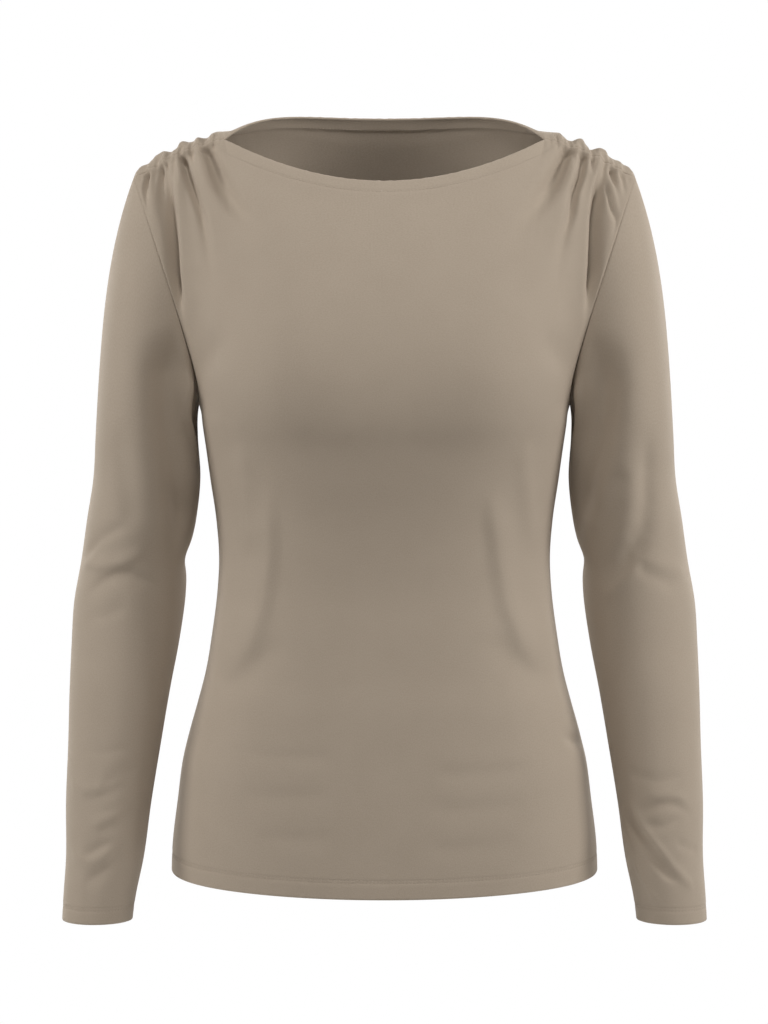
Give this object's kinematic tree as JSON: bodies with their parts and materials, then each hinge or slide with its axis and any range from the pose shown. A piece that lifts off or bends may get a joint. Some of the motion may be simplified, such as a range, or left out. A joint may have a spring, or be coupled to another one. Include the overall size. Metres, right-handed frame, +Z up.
{
  "type": "long-sleeved boat-neck top",
  "caption": "Fitted long-sleeved jersey top with a wide boat neck and gathered shoulder seams, hollow and in the shape of being worn.",
  "frame": {"origin": "midway between the neck ends of the two shoulder seams, where the wearer's shoulders hold the top up", "axes": "+X towards the wearer's left, +Y towards the back, +Z up"},
  "size_m": [0.5086, 0.2423, 0.641],
  "materials": {
    "jersey": "matte, soft taupe knit"
  },
  "bodies": {
    "root": {"front": "jersey", "back": "jersey", "sleeve_right": "jersey", "sleeve_left": "jersey"}
  },
  "joints": []
}
